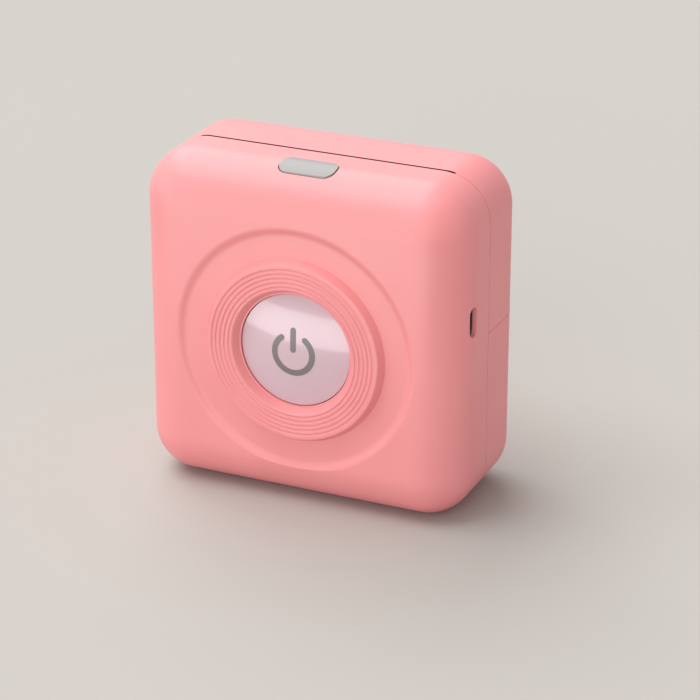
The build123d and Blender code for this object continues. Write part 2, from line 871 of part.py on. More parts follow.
# Print head: heat sink with pivot lugs, head board, pivot rod and springs
with BuildPart() as heat_sink:
    with BuildSketch(facing_front(heat_sink_back_y)):
        with Locations((0, heat_sink_low)):
            Rectangle(
                2 * heat_sink_half, heat_sink_high - heat_sink_low, align=(Align.CENTER, Align.MIN)
            )
    extrude(amount=heat_sink_thickness)
    for start in (-heat_sink_half, heat_sink_half - head_lug_width):
        with BuildSketch(across(start)):
            with Locations((head_rod_y, head_rod_z)):
                Circle(2 * head_rod_radius + 0.3)
                Rectangle(head_rod_ahead, 2 * head_rod_radius, align=(Align.MIN, Align.CENTER))
        extrude(amount=head_lug_width)
    with BuildSketch(across(-heat_sink_half)):
        with Locations((head_rod_y, head_rod_z)):
            Circle(head_rod_radius + running_gap)
    extrude(amount=2 * heat_sink_half, mode=Mode.SUBTRACT)
heat_sink.part.label = "heat_sink"
export_step(heat_sink.part, "parts/heat_sink.step")

with BuildPart() as head_board:
    with BuildSketch(facing_front(head_face_y)):
        with Locations((0, head_board_low)):
            Rectangle(
                2 * head_board_half, head_board_high - head_board_low, align=(Align.CENTER, Align.MIN)
            )
    extrude(amount=head_board_thickness)
head_board.part.label = "head_board"
export_step(head_board.part, "parts/head_board.step")

with BuildPart() as head_pivot_rod:
    with BuildSketch(across(-plate_end)):
        with Locations((head_rod_y, head_rod_z)):
            Circle(head_rod_radius)
    extrude(amount=2 * plate_end)
head_pivot_rod.part.label = "head_pivot_rod"
export_step(head_pivot_rod.part, "parts/head_pivot_rod.step")

head_coil = coil(head_spring_radius, head_spring_wire, head_spring_gap - 0.1, head_spring_turns)
with BuildPart() as head_springs:
    for x in (-head_spring_x, head_spring_x):
        with Locations(Location((x, cross_back_y + 0.05, head_spring_z), (-90, 0, 0))):
            add(head_coil)
head_springs.part.label = "head_springs"
export_step(head_springs.part, "parts/head_springs.step")

cable_y = heat_sink_front_y - 2 * cable_thickness
cable_front_y = board_back_y + connector_depth / 2
with BuildPart() as head_cable:
    with BuildSketch(across(-cable_width / 2)):
        with BuildLine():
            FilletPolyline(
                (cable_y, cable_top),
                (cable_y, cable_level),
                (cable_front_y, cable_level),
                (cable_front_y, connector_top + cable_thickness / 2),
                radius=cable_bend,
            )
            offset(amount=cable_thickness / 2, kind=Kind.TANGENT)
        make_face()
    extrude(amount=cable_width)
head_cable.part.label = "head_cable"
export_step(head_cable.part, "parts/head_cable.step")

with BuildPart() as paper_sensor:
    with BuildSketch(facing_front(cross_back_y)):
        with Locations((cable_notch_half + 4, cross_low + 1.6)):
            Rectangle(4.2, 2.8)
    extrude(amount=-1.4)
paper_sensor.part.label = "paper_sensor"
export_step(paper_sensor.part, "parts/paper_sensor.step")


# Platen, carried by the cover
with BuildPart() as platen_bracket:
    with BuildSketch(Plane.XY.offset(bracket_low)):
        with Locations((0, platen_y - bracket_ahead)):
            Rectangle(
                2 * (arm_inner + arm_thickness),
                bracket_ahead + bracket_behind,
                align=(Align.CENTER, Align.MIN),
            )
        with Locations(*bracket_screw_spots):
            Circle(small_screw_radius + 0.2, mode=Mode.SUBTRACT)
    extrude(amount=sheet)
    for start in (-arm_inner - arm_thickness, arm_inner):
        with BuildSketch(across_at(start, platen_place)):
            Circle(arm_round)
            Rectangle(2 * arm_round, bracket_low - platen_z + 0.5, align=(Align.CENTER, Align.MIN))
            Circle(bush_radius, mode=Mode.SUBTRACT)
        extrude(amount=arm_thickness)
platen_bracket.part.label = "platen_bracket"
export_step(platen_bracket.part, "parts/platen_bracket.step")

with BuildPart() as platen_bushes:
    for side in (-1, 1):
        with BuildSketch(across_at(side * (arm_inner - bush_flange), platen_place)):
            Circle(bush_flange_radius)
        extrude(amount=side * bush_flange)
        with BuildSketch(across_at(side * arm_inner, platen_place)):
            Circle(bush_radius)
        extrude(amount=side * (arm_thickness + 0.3))
    with BuildSketch(across_at(-half_width, platen_place)):
        Circle(shaft_radius + running_gap)
    extrude(amount=case_width, mode=Mode.SUBTRACT)
platen_bushes.part.label = "platen_bushes"
export_step(platen_bushes.part, "parts/platen_bushes.step")

with BuildPart() as platen_shaft:
    with BuildSketch(across_at(-shaft_half_length, platen_place)):
        Circle(shaft_radius)
    extrude(amount=2 * shaft_half_length)
platen_shaft.part.label = "platen_shaft"
export_step(platen_shaft.part, "parts/platen_shaft.step")

with BuildPart() as platen_roller:
    with BuildSketch(across_at(-platen_length / 2, platen_place)):
        Circle(platen_radius)
        Circle(shaft_radius, mode=Mode.SUBTRACT)
    extrude(amount=platen_length)
platen_roller.part.label = "platen_roller"
export_step(platen_roller.part, "parts/platen_roller.step")


# Gear train on the left side, from the platen to the motor
with BuildPart() as platen_gear:
    with BuildSketch(across_at(-gear_plane_a, platen_place)):
        add(gear_face(platen_teeth, 0))
        Circle(shaft_radius, mode=Mode.SUBTRACT)
    extrude(amount=-gear_width)
platen_gear.part.label = "platen_gear"
export_step(platen_gear.part, "parts/platen_gear.step")

with BuildPart() as idler_gear:
    with BuildSketch(across_at(-gear_plane_a, idler_place)):
        add(gear_face(idler_teeth, idler_phase))
        Circle(axle_radius + running_gap, mode=Mode.SUBTRACT)
    extrude(amount=-gear_width)
idler_gear.part.label = "idler_gear"
export_step(idler_gear.part, "parts/idler_gear.step")

with BuildPart() as compound_gear:
    with BuildSketch(across_at(-gear_plane_a, compound_place)):
        add(gear_face(compound_small_teeth, compound_phase))
    extrude(amount=-(gear_plane_b - gear_plane_a))
    with BuildSketch(across_at(-gear_plane_b, compound_place)):
        add(gear_face(compound_big_teeth, 0))
    extrude(amount=-gear_width)
    with BuildSketch(across_at(-gear_plane_a, compound_place)):
        Circle(axle_radius + running_gap)
    extrude(amount=-case_width, mode=Mode.SUBTRACT)
compound_gear.part.label = "compound_gear"
export_step(compound_gear.part, "parts/compound_gear.step")

with BuildPart() as gear_axles:
    with BuildSketch(across_at(-frame_inner, idler_place)):
        Circle(axle_radius)
    extrude(amount=-(gear_plane_a + gear_width + 0.4 - frame_inner))
    with BuildSketch(across_at(-frame_inner, compound_place)):
        Circle(axle_radius)
    extrude(amount=-(gear_plane_b + gear_width + 0.4 - frame_inner))
gear_axles.part.label = "gear_axles"
export_step(gear_axles.part, "parts/gear_axles.step")

with BuildPart() as motor_pinion:
    with BuildSketch(across_at(-gear_plane_b, motor_place)):
        add(gear_face(pinion_teeth, pinion_phase))
        Circle(motor_shaft_radius, mode=Mode.SUBTRACT)
    extrude(amount=-gear_width)
motor_pinion.part.label = "motor_pinion"
export_step(motor_pinion.part, "parts/motor_pinion.step")

with BuildPart() as motor_shaft:
    with BuildSketch(across_at(-gear_plane_b, motor_place)):
        Circle(motor_shaft_radius)
    extrude(amount=-(flange_end + motor_length / 2 - gear_plane_b))
motor_shaft.part.label = "motor_shaft"
export_step(motor_shaft.part, "parts/motor_shaft.step")

with BuildPart() as stepper_motor:
    with BuildSketch(across_at(-flange_end, motor_place)):
        SlotOverall(2 * motor_screw_reach + motor_tab_width, motor_tab_width, rotation=90)
        with Locations((0, motor_screw_reach), (0, -motor_screw_reach)):
            Circle(small_screw_radius + 0.2, mode=Mode.SUBTRACT)
    extrude(amount=-motor_tab)
    with BuildSketch(across_at(-flange_end, motor_place)):
        Circle(motor_radius)
    extrude(amount=-motor_length)
    chamfer(stepper_motor.edges().sort_by(Axis.X)[0], 0.6)
    with BuildSketch(across_at(-flange_end, motor_place)):
        Circle(motor_shaft_radius + running_gap)
    extrude(amount=-(motor_length / 2 + 0.3), mode=Mode.SUBTRACT)
stepper_motor.part.label = "stepper_motor"
export_step(stepper_motor.part, "parts/stepper_motor.step")


# Cover-release button, its spring and the rocking ejector lever
def button_prism(margin, low):
    """The button's plan shape, grown by a margin, from a level up past the top of the case."""
    with BuildPart() as prism:
        with BuildSketch(Plane.XY.offset(low)):
            with Locations((0, button_middle_y)):
                RectangleRounded(
                    2 * (button_half_width + margin), button_length + 2 * margin, button_corner + margin
                )
        extrude(amount=case_height - low + 2)
    return prism.part


button_body = button_prism(0, button_flange_z) & rounded_block(-button_proud)
button_cavity = button_prism(-button_wall, button_flange_z - 1) & rounded_block(
    button_cap - button_proud
)
with BuildPart() as release_button:
    add(button_body)
    with BuildSketch(Plane.XY.offset(button_flange_z)):
        with Locations((0, button_middle_y)):
            RectangleRounded(
                2 * (button_half_width + button_gap + button_flange),
                button_length + 2 * (button_gap + button_flange),
                button_corner,
            )
    extrude(amount=button_flange)
    add(button_cavity, mode=Mode.SUBTRACT)
    with BuildSketch(Plane.XY.offset(button_flange_z)):
        with Locations(
            (button_spring_x, button_middle_y), (finger_x + finger_width / 2, button_middle_y)
        ):
            Rectangle(button_pad, button_length - button_wall)
    extrude(amount=2 * button_flange)
release_button.part.label = "release_button"
export_step(release_button.part, "parts/release_button.step")

button_coil = coil(
    button_spring_radius,
    button_spring_wire,
    button_flange_z - button_spring_low - 0.1,
    button_spring_turns,
)
with BuildPart() as release_spring:
    with Locations((button_spring_x, button_spring_y, button_spring_low + 0.05)):
        add(button_coil)
release_spring.part.label = "release_spring"
export_step(release_spring.part, "parts/release_spring.step")

# the arm stops just short of the platen shaft when the button is fully down
lever_swing = degrees(button_travel / lever_reach)
arm_length = hypot(platen_y - lever_y, platen_z - lever_z)
shaft_direction = degrees(atan2(platen_z - lever_z, platen_y - lever_y))
arm_offset = degrees(asin((shaft_radius + lever_gap + lever_radius) / arm_length))
arm_angle = shaft_direction - arm_offset - lever_swing
arm_middle = stepped((0, 0), arm_length / 2, arm_angle)
finger_top = button_flange_z - lever_gap
with BuildPart() as ejector_lever:
    with BuildSketch(across_at(lever_left, (lever_y, lever_z))):
        Circle(lever_radius)
    extrude(amount=lever_arm_x + lever_arm_thickness - lever_left)
    with BuildSketch(across(finger_x)):
        with BuildLine():
            Polyline(
                (lever_y + lever_radius - 0.1, lever_z),
                (lever_y - 0.9 * lever_radius, lever_z - 0.4),
                (lever_y - lever_reach - 0.8, finger_top - 1.2),
                (lever_y - lever_reach - 0.8, finger_top),
                (lever_y - lever_reach + 0.8, finger_top),
                close=True,
            )
        make_face()
    extrude(amount=finger_width)
    with BuildSketch(across_at(lever_arm_x, (lever_y, lever_z))):
        with Locations(arm_middle):
            SlotCenterToCenter(arm_length, 2 * lever_radius, rotation=arm_angle)
    extrude(amount=lever_arm_thickness)
ejector_lever.part.label = "ejector_lever"
export_step(ejector_lever.part, "parts/ejector_lever.step")


# Power button: a domed disc with a rim, a retaining flange and a stem on the push switch
edge_y = front_y + disc_sink
disc_flange_y = front_y + sleeve_depth + 0.15
plunger_y = board_front_y - switch_body - switch_plunger
dome_rise = dome_height * (1 - 0.25)
with BuildPart() as power_button:
    with BuildSketch(across(0)):
        with BuildLine():
            ThreePointArc(
                (edge_y - dome_height, dial_z),
                (edge_y - dome_rise, dial_z + disc_radius / 2),
                (edge_y, dial_z + disc_radius),
            )
            Polyline(
                (edge_y, dial_z + disc_radius),
                (disc_flange_y, dial_z + disc_radius),
                (disc_flange_y, dial_z + hole_radius + disc_flange),
                (disc_flange_y + disc_flange, dial_z + hole_radius + disc_flange),
                (disc_flange_y + disc_flange, dial_z + disc_radius - disc_wall),
                (edge_y + disc_wall / 2, dial_z + disc_radius - disc_wall),
                (edge_y + disc_wall / 2, dial_z + stem_radius),
                (plunger_y, dial_z + stem_radius),
                (plunger_y, dial_z),
                (edge_y - dome_height, dial_z),
            )
        make_face()
    revolve(axis=dial_axis)
power_button.part.label = "power_button"
export_step(power_button.part, "parts/power_button.step")

with BuildPart() as switch_plunger_part:
    with BuildSketch(facing_front(plunger_y)):
        with Locations((0, dial_z)):
            Circle(switch_plunger_radius)
    extrude(amount=-(switch_plunger + plunger_sunk))
switch_plunger_part.part.label = "switch_plunger"
export_step(switch_plunger_part.part, "parts/switch_plunger.step")

with BuildPart() as power_switch:
    with BuildSketch(facing_front(board_front_y)):
        with Locations((0, dial_z)):
            RectangleRounded(switch_size, switch_size, 0.5)
    extrude(amount=switch_body)
    with BuildSketch(facing_front(board_front_y - switch_body)):
        with Locations((0, dial_z)):
            Circle(switch_plunger_radius + running_gap)
    extrude(amount=-(plunger_sunk + disc_travel + 0.3), mode=Mode.SUBTRACT)
power_switch.part.label = "power_switch"
export_step(power_switch.part, "parts/power_switch.step")


# Main board with its chips and connectors
with BuildPart() as main_board:
    with BuildSketch(facing_front(board_back_y)):
        with Locations((0, board_low)):
            Rectangle(2 * board_half_width, board_high - board_low, align=(Align.CENTER, Align.MIN))
        with Locations((0, port_z)):
            Rectangle(board_tab_end, 1.6 * port_height, align=(Align.MIN, Align.CENTER))
        with Locations(*board_screw_spots):
            Circle(small_screw_radius + 0.2, mode=Mode.SUBTRACT)
    extrude(amount=board_thickness)
main_board.part.label = "main_board"
export_step(main_board.part, "parts/main_board.step")

with BuildPart() as board_chips:
    # processor, motor driver, radio module and flash chip on the back of the board
    for across_share, up_share, width, height, depth in (
        (-0.16, 0.41, 12.0, 12.0, 1.2),
        (0.32, 0.74, 8.0, 8.0, 1.0),
        (-0.54, 0.71, 16.0, 12.0, 2.0),
        (0.38, 0.44, 6.0, 5.0, 0.9),
        (0.54, 0.18, 9.0, 5.0, 3.0),
    ):
        chip_x = across_share * board_half_width
        chip_z = board_low + up_share * (board_high - board_low)
        with BuildSketch(facing_front(board_back_y)):
            with Locations((chip_x, chip_z)):
                Rectangle(width, height)
        extrude(amount=-depth)
    # connector of the flat cable, and the battery socket
    with BuildSketch(facing_front(board_back_y)):
        with Locations((0, connector_top)):
            Rectangle(cable_width + 2, connector_height, align=(Align.CENTER, Align.MAX))
        with Locations((lead_x, lead_socket_top)):
            Rectangle(6.0, 5.0, align=(Align.CENTER, Align.MAX))
    extrude(amount=-connector_depth)
board_chips.part.label = "board_chips"
export_step(board_chips.part, "parts/board_chips.step")

with BuildPart() as usb_port:
    with BuildSketch(across(port_end - port_length)):
        with Locations((port_y, port_z)):
            SlotOverall(port_height, port_depth, rotation=90)
    extrude(amount=port_length)
    with BuildSketch(across(port_end - port_length + port_shell)):
        with Locations((port_y, port_z)):
            SlotOverall(port_height - 2 * port_shell, port_depth - 2 * port_shell, rotation=90)
    extrude(amount=port_length, mode=Mode.SUBTRACT)
usb_port.part.label = "usb_port"
export_step(usb_port.part, "parts/usb_port.step")

with BuildPart() as usb_tongue:
    with BuildSketch(across(port_end - port_length + port_shell)):
        with Locations((port_y, port_z)):
            Rectangle(tongue_thickness, tongue_height)
    extrude(amount=port_length - port_shell - 1)
usb_tongue.part.label = "usb_tongue"
export_step(usb_tongue.part, "parts/usb_tongue.step")


# Battery pouch and its two-wire lead to the board
battery_back_y = back_y - wall - battery_gap
battery_front_y = battery_back_y - battery_thickness
with BuildPart() as battery:
    with BuildSketch(facing_front(battery_front_y)):
        with Locations((0, battery_low + battery_height / 2)):
            RectangleRounded(battery_width, battery_height, 1.5)
    extrude(amount=-battery_thickness)
    fillet(battery.edges().group_by(Axis.Y)[0], 1.2)
battery.part.label = "battery"
export_step(battery.part, "parts/battery.step")

battery_middle_y = (battery_front_y + battery_back_y) / 2
socket_y = board_back_y + connector_depth / 2
with BuildPart() as battery_lead:
    for x in (lead_x - lead_pitch / 2, lead_x + lead_pitch / 2):
        with BuildLine() as wire:
            FilletPolyline(
                (x, battery_middle_y, battery_low + battery_height),
                (x, battery_middle_y, lead_level),
                (x, socket_y, lead_level),
                (x, socket_y, lead_socket_top),
                radius=lead_bend,
            )
        with BuildSketch(Plane(origin=wire.line @ 0, z_dir=wire.line % 0)):
            Circle(lead_radius)
        sweep(path=wire.line)
battery_lead.part.label = "battery_lead"
export_step(battery_lead.part, "parts/battery_lead.step")


# Screws, by the piece that they hold
case_screw = pan_screw(case_screw_radius, case_screw_length)
small_screw = pan_screw(small_screw_radius, small_screw_length)
bracket_screw = pan_screw(small_screw_radius, bracket_screw_length)
motor_screw = pan_screw(small_screw_radius, motor_tab + flange_thickness - 0.1)

with BuildPart() as case_screws:
    for x, z in case_screw_spots:
        with Locations(Location((x, case_screw_seat_y, z), (-90, 0, 0))):
            add(case_screw)
case_screws.part.label = "case_screws"
export_step(case_screws.part, "parts/case_screws.step")

with BuildPart() as board_screws:
    for x, z in board_screw_spots:
        with Locations(Location((x, board_back_y, z), (-90, 0, 0))):
            add(small_screw)
board_screws.part.label = "board_screws"
export_step(board_screws.part, "parts/board_screws.step")

with BuildPart() as frame_screws:
    for x, z in frame_screw_spots:
        with Locations(Location((x, cross_back_y, z), (-90, 0, 0))):
            add(small_screw)
frame_screws.part.label = "frame_screws"
export_step(frame_screws.part, "parts/frame_screws.step")

with BuildPart() as motor_screws:
    for z in (motor_place[1] - motor_screw_reach, motor_place[1] + motor_screw_reach):
        with Locations(Location((-flange_end - motor_tab, motor_place[0], z), (0, -90, 0))):
            add(motor_screw)
motor_screws.part.label = "motor_screws"
export_step(motor_screws.part, "parts/motor_screws.step")

with BuildPart() as tray_screws:
    for x in (-tray_screw_x, tray_screw_x):
        with Locations((x, tray_screw_y, deck_high)):
            add(small_screw)
tray_screws.part.label = "tray_screws"
export_step(tray_screws.part, "parts/tray_screws.step")

with BuildPart() as bracket_screws:
    for x, y in bracket_screw_spots:
        with Locations(Location((x, y, bracket_low), (180, 0, 0))):
            add(bracket_screw)
bracket_screws.part.label = "bracket_screws"
export_step(bracket_screws.part, "parts/bracket_screws.step")
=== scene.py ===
import bpy
import bmesh
from math import cos, pi, radians, sin, sqrt
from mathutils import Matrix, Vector


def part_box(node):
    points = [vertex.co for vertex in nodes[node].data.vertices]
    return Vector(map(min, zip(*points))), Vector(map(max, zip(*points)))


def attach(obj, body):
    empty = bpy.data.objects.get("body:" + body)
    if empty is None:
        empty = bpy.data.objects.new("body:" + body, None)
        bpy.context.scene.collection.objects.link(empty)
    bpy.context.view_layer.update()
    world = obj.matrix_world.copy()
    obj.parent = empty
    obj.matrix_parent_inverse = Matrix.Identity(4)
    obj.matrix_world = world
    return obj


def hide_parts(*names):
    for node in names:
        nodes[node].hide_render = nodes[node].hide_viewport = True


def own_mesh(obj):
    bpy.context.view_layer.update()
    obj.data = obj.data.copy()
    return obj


# Looks of the palm-size thermal printer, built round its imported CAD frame.
# Metres, in the CAD's own frame: +X right, +Y back, +Z up, base at Z 0.

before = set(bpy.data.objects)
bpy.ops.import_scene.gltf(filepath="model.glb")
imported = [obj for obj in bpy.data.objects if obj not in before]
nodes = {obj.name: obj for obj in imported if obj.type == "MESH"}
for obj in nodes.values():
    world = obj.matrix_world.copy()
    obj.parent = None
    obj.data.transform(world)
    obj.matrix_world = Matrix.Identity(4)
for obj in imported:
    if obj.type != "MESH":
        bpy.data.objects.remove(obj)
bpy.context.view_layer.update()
scene = bpy.context.scene

# Linear colours
PINK = (0.908, 0.320, 0.330)
PINK_DEEP = (0.890, 0.302, 0.312)
# Dark pink painted into the paper slot as shade
PINK_PAINTED_SHADE = (0.075, 0.022, 0.026)
BACKDROP_GREY = (0.658, 0.624, 0.584)
WORLD_GREY = (0.74, 0.74, 0.745)

# How a brushed grain's coordinates are stretched: drawn along X, or turned round it
DRAWN_GRAIN = (1.0, 40.0, 40.0)
TURNED_GRAIN = (40.0, 1.0, 1.0)


# Materials

def new_material(name):
    """A fresh node material: its tree, its shader and the row-frame coordinates."""
    material = bpy.data.materials.new(name)
    material.use_nodes = True
    tree = material.node_tree
    shader = tree.nodes["Principled BSDF"]
    place = tree.nodes.new("ShaderNodeTexCoord").outputs["Object"]
    return material, tree, shader, place


def noise(tree, place, scale, detail=3.0, rough=0.5, distortion=0.0):
    node = tree.nodes.new("ShaderNodeTexNoise")
    node.inputs["Scale"].default_value = scale
    node.inputs["Detail"].default_value = detail
    node.inputs["Roughness"].default_value = rough
    node.inputs["Distortion"].default_value = distortion
    tree.links.new(place, node.inputs["Vector"])
    return node.outputs["Fac"]


def cells(tree, place, scale, feature="F1"):
    """Distance to the nearest (F1) or next (F2) point of cells with straight, 45-degree sides."""
    node = tree.nodes.new("ShaderNodeTexVoronoi")
    node.feature = feature
    node.distance = "CHEBYCHEV"
    node.inputs["Scale"].default_value = scale
    tree.links.new(place, node.inputs["Vector"])
    return node.outputs["Distance"]


def along(tree, place, axis):
    """One of the row-frame coordinates, in metres."""
    node = tree.nodes.new("ShaderNodeSeparateXYZ")
    tree.links.new(place, node.inputs["Vector"])
    return node.outputs[axis]


def math_node(tree, operation, first, second):
    node = tree.nodes.new("ShaderNodeMath")
    node.operation = operation
    tree.links.new(first, node.inputs[0])
    tree.links.new(second, node.inputs[1])
    return node.outputs["Value"]


def span(tree, factor, low, high, start=0.3, end=0.7):
    """Spreads a factor's run from start to end over low to high."""
    node = tree.nodes.new("ShaderNodeMapRange")
    node.inputs["From Min"].default_value = start
    node.inputs["From Max"].default_value = end
    node.inputs["To Min"].default_value = low
    node.inputs["To Max"].default_value = high
    tree.links.new(factor, node.inputs["Value"])
    return node.outputs["Result"]


def band(tree, value, low, high, soft=0.00004):
    """1 where a value lies from low to high, 0 elsewhere."""
    rise = span(tree, value, 0.0, 1.0, low - soft, low + soft)
    fall = span(tree, value, 1.0, 0.0, high - soft, high + soft)
    return math_node(tree, "MULTIPLY", rise, fall)


def ramp(tree, factor, dark, light, start=0.3, end=0.7):
    """A colour that runs from dark to light as a factor goes from start to end."""
    node = tree.nodes.new("ShaderNodeValToRGB")
    for element, position, colour in zip(node.color_ramp.elements, (start, end), (dark, light)):
        element.position = position
        element.color = (*colour, 1.0)
    tree.links.new(factor, node.inputs["Fac"])
    return node.outputs["Color"]


def mixed(tree, factor, first, second):
    """Mixes two colours, each a socket or a plain linear colour."""
    node = tree.nodes.new("ShaderNodeMix")
    node.data_type = "RGBA"
    # The node's sockets share their names between data types, so these go by number
    factor_in, first_in, second_in, colour_out = 0, 6, 7, 2
    tree.links.new(factor, node.inputs[factor_in])
    for number, colour in ((first_in, first), (second_in, second)):
        if isinstance(colour, tuple):
            node.inputs[number].default_value = (*colour, 1.0)
        else:
            tree.links.new(colour, node.inputs[number])
    return node.outputs[colour_out]


def bump(tree, height, distance, strength, under=None):
    node = tree.nodes.new("ShaderNodeBump")
    node.inputs["Strength"].default_value = strength
    node.inputs["Distance"].default_value = distance
    tree.links.new(height, node.inputs["Height"])
    if under is not None:
        tree.links.new(under, node.inputs["Normal"])
    return node.outputs["Normal"]


def moulded(name, light, dark, rough, grain=0.00002, coat=0.0):
    """Moulded plastic: a slow drift of colour, fine spark grain and a roughness that varies."""
    material, tree, shader, place = new_material(name)
    drift = noise(tree, place, scale=38.0, detail=2.0)
    fine = noise(tree, place, scale=2600.0, detail=4.0, rough=0.6)
    peel = noise(tree, place, scale=420.0, detail=2.0)
    colour = ramp(tree, drift, dark, light, 0.32, 0.68)
    tree.links.new(colour, shader.inputs["Base Color"])
    tree.links.new(span(tree, fine, rough - 0.05, rough + 0.06), shader.inputs["Roughness"])
    wave = bump(tree, peel, distance=0.00003, strength=0.35)
    grained = bump(tree, fine, distance=grain, strength=0.5, under=wave)
    tree.links.new(grained, shader.inputs["Normal"])
    shader.inputs["Coat Weight"].default_value = coat
    return material


def brushed(name, light, dark, rough, stretch=DRAWN_GRAIN):
    """Metal with a grain in one direction, and faint smudges."""
    material, tree, shader, place = new_material(name)
    mapping = tree.nodes.new("ShaderNodeMapping")
    mapping.inputs["Scale"].default_value = stretch
    tree.links.new(place, mapping.inputs["Vector"])
    lines = noise(tree, mapping.outputs["Vector"], scale=260.0, detail=4.0, rough=0.65)
    smudge = noise(tree, place, scale=130.0)
    tree.links.new(ramp(tree, lines, dark, light), shader.inputs["Base Color"])
    tree.links.new(span(tree, smudge, rough - 0.06, rough + 0.10), shader.inputs["Roughness"])
    tree.links.new(bump(tree, lines, distance=0.00001, strength=0.4), shader.inputs["Normal"])
    shader.inputs["Metallic"].default_value = 1.0
    return material


def case_plastic():
    """The case's pink plastic, with painted shade that turns it dark inside the paper slot."""
    material = moulded("case_plastic_look", PINK, PINK_DEEP, rough=0.42)
    tree = material.node_tree
    shader = tree.nodes["Principled BSDF"]
    place = tree.nodes.new("ShaderNodeTexCoord").outputs["Object"]
    # Painted shade fills the slot round the tear bar, with a little to spare at its front, top
    # and ends
    low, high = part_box("tear_bar")
    depth, width, front, top, end = 0.0040, 0.0011, 0.0001, 0.00007, 0.0015
    x, y, z = (along(tree, place, axis) for axis in "XYZ")
    inside = math_node(
        tree, "MULTIPLY",
        band(tree, y, low.y - front, low.y + width),
        band(tree, z, high.z - depth, high.z + top, soft=0.00002),
    )
    inside = math_node(tree, "MULTIPLY", inside, band(tree, x, low.x - end, high.x + end))
    # Painted shade: the pink turns dark inside the slot's mask
    pink = shader.inputs["Base Color"].links[0].from_socket
    tree.links.new(mixed(tree, inside, pink, PINK_PAINTED_SHADE), shader.inputs["Base Color"])
    return material


def circuit_board():
    """Green solder mask with copper tracks under it and small tinned pads."""
    material, tree, shader, place = new_material("board_green_look")
    drift = noise(tree, place, scale=45.0, detail=2.0)
    mask = ramp(tree, drift, (0.018, 0.120, 0.050), (0.026, 0.155, 0.064))
    near, far = (cells(tree, place, 300.0, feature) for feature in ("F1", "F2"))
    tracks = span(tree, math_node(tree, "SUBTRACT", far, near), 1.0, 0.0, start=0.07, end=0.10)
    pads = span(tree, cells(tree, place, 420.0), 1.0, 0.0, start=0.10, end=0.13)
    tracked = mixed(tree, tracks, mask, (0.060, 0.270, 0.120))
    padded = mixed(tree, pads, tracked, (0.560, 0.540, 0.500))
    tree.links.new(padded, shader.inputs["Base Color"])
    tree.links.new(span(tree, pads, 0.26, 0.36, 0.0, 1.0), shader.inputs["Roughness"])
    tree.links.new(bump(tree, tracks, distance=0.00003, strength=0.5), shader.inputs["Normal"])
    shader.inputs["Coat Weight"].default_value = 0.3
    return material


def heater_board():
    """White ceramic with a clear glaze rib and the dark line of heater dots along it."""
    material, tree, shader, place = new_material("ceramic_look")
    height = along(tree, place, "Z")
    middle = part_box("head_board")[1].z - 0.0050
    half_rib, half_line = 0.0008, 0.0001
    drift = noise(tree, place, scale=90.0, detail=2.0)
    body = ramp(tree, drift, (0.66, 0.64, 0.56), (0.72, 0.70, 0.62))
    rib = band(tree, height, middle - half_rib, middle + half_rib)
    line = band(tree, height, middle - half_line, middle + half_line)
    glazed = mixed(tree, rib, body, (0.42, 0.40, 0.37))
    lined = mixed(tree, line, glazed, (0.05, 0.04, 0.04))
    tree.links.new(lined, shader.inputs["Base Color"])
    gloss = span(tree, noise(tree, place, scale=700.0), 0.16, 0.26)
    tree.links.new(gloss, shader.inputs["Roughness"])
    shader.inputs["Coat Weight"].default_value = 0.3
    return material


def battery_pouch():
    """Silver foil with faint creases, and a band of amber tape along its top."""
    material, tree, shader, place = new_material("battery_wrap_look")
    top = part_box("battery")[1].z
    tape_width, over = 0.0065, 0.001
    taped = band(tree, along(tree, place, "Z"), top - tape_width, top + over)
    foil = ramp(tree, noise(tree, place, scale=60.0), (0.42, 0.43, 0.47), (0.54, 0.55, 0.58))
    wrapped = mixed(tree, taped, foil, (0.560, 0.270, 0.045))
    tree.links.new(wrapped, shader.inputs["Base Color"])
    tree.links.new(span(tree, taped, 0.75, 0.0, 0.0, 1.0), shader.inputs["Metallic"])
    gloss = span(tree, noise(tree, place, scale=500.0), 0.26, 0.40)
    tree.links.new(gloss, shader.inputs["Roughness"])
    folds = noise(tree, place, scale=180.0, rough=0.6, distortion=1.2)
    creases = bump(tree, folds, distance=0.0002, strength=0.35)
    edge = bump(tree, taped, distance=0.00006, strength=1.0, under=creases)
    tree.links.new(edge, shader.inputs["Normal"])
    return material


def ribbon():
    """Amber film with copper lines 1 mm apart running along it."""
    material, tree, shader, place = new_material("flat_cable_look")
    wave = tree.nodes.new("ShaderNodeTexWave")
    wave.wave_profile = "SIN"
    wave.inputs["Scale"].default_value = 314.0
    tree.links.new(place, wave.inputs["Vector"])
    lines = span(tree, wave.outputs["Fac"], 0.0, 1.0, start=0.45, end=0.60)
    striped = mixed(tree, lines, (0.520, 0.260, 0.060), (0.700, 0.340, 0.130))
    tree.links.new(striped, shader.inputs["Base Color"])
    gloss = span(tree, noise(tree, place, scale=300.0), 0.28, 0.38)
    tree.links.new(gloss, shader.inputs["Roughness"])
    tree.links.new(bump(tree, lines, distance=0.00004, strength=0.5), shader.inputs["Normal"])
    shader.inputs["Coat Weight"].default_value = 0.4
    return material


materials = {
    "case_plastic": case_plastic(),
    "board_green": circuit_board(),
    "ceramic": heater_board(),
    "flat_cable": ribbon(),
    "battery_wrap": battery_pouch(),
}

